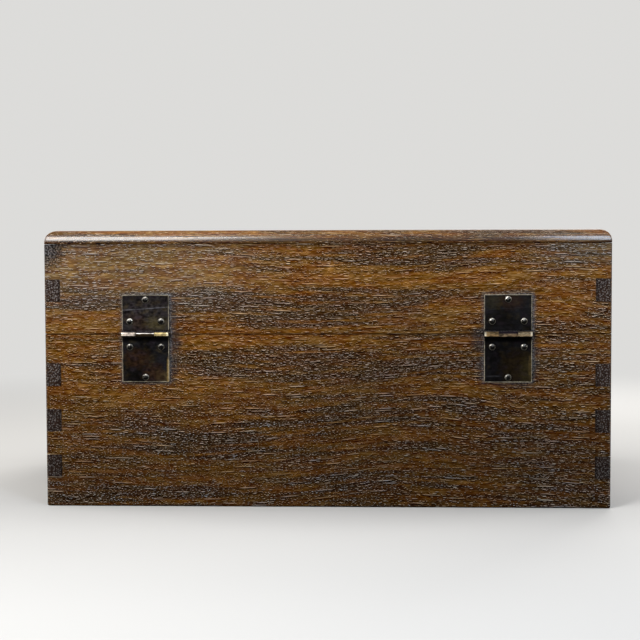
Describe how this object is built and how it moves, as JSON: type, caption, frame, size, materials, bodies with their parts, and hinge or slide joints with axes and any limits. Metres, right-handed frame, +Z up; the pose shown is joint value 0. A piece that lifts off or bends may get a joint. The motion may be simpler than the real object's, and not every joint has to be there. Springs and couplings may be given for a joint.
{
  "type": "hinged wooden storage box",
  "caption": "Dark hardwood box with dovetailed corners, a hinged lid with a rounded top edge, dark brass hinges nailed on the outside of the back, and a hasp and staple at the front.",
  "frame": {"origin": "bottom centre of the box walls, on the surface that the box stands on", "axes": "+X along the length, to the right seen from the front; +Y towards the hinged back; +Z up"},
  "size_m": [0.36, 0.2336, 0.1766],
  "materials": {
    "outer_wood": "waxed dark brown hardwood with open pores, worn smooth on the rounded top edge",
    "inner_wood": "unpolished hardwood",
    "dark_brass": "brass darkened with age, worn to bright metal along its edges",
    "bright_brass": "rubbed brass"
  },
  "bodies": {
    "base": {"base_front_board": "outer_wood", "base_back_board": "outer_wood", "base_left_board": "outer_wood", "base_right_board": "outer_wood", "bottom_panel": "inner_wood", "lip_front": "inner_wood", "lip_back": "inner_wood", "lip_left": "inner_wood", "lip_right": "inner_wood", "left_hinge_base_leaf": "dark_brass", "left_hinge_pin": "bright_brass", "left_hinge_base_nail_1": "bright_brass", "left_hinge_base_nail_2": "bright_brass", "left_hinge_base_nail_3": "bright_brass", "right_hinge_base_leaf": "dark_brass", "right_hinge_pin": "bright_brass", "right_hinge_base_nail_1": "bright_brass", "right_hinge_base_nail_2": "bright_brass", "right_hinge_base_nail_3": "bright_brass", "hasp_plate": "dark_brass", "hasp_pin": "bright_brass", "hasp_plate_nail_1": "bright_brass", "hasp_plate_nail_2": "bright_brass", "hasp_plate_nail_3": "bright_brass", "hasp_plate_nail_4": "bright_brass"},
    "lid": {"lid_front_board": "outer_wood", "lid_back_board": "outer_wood", "lid_left_board": "outer_wood", "lid_right_board": "outer_wood", "lid_top_board": "outer_wood", "left_hinge_lid_leaf": "dark_brass", "left_hinge_lid_nail_1": "bright_brass", "left_hinge_lid_nail_2": "bright_brass", "left_hinge_lid_nail_3": "bright_brass", "right_hinge_lid_leaf": "dark_brass", "right_hinge_lid_nail_1": "bright_brass", "right_hinge_lid_nail_2": "bright_brass", "right_hinge_lid_nail_3": "bright_brass", "staple_plate": "dark_brass", "staple": "bright_brass", "staple_plate_nail_1": "bright_brass", "staple_plate_nail_2": "bright_brass", "staple_plate_nail_3": "bright_brass", "staple_plate_nail_4": "bright_brass"},
    "hasp": {"hasp": "dark_brass"}
  },
  "joints": [
    {"name": "lid_hinge", "type": "hinge", "parent": "base", "child": "lid", "pos_m": [0, 0.1124, 0.1107], "axis": [-1, 0, 0], "range_deg": [0, 170]},
    {"name": "hasp_hinge", "type": "hinge", "parent": "base", "child": "hasp", "pos_m": [0, -0.1124, 0.1045], "axis": [-1, 0, 0], "range_deg": [0, 178]}
  ]
}
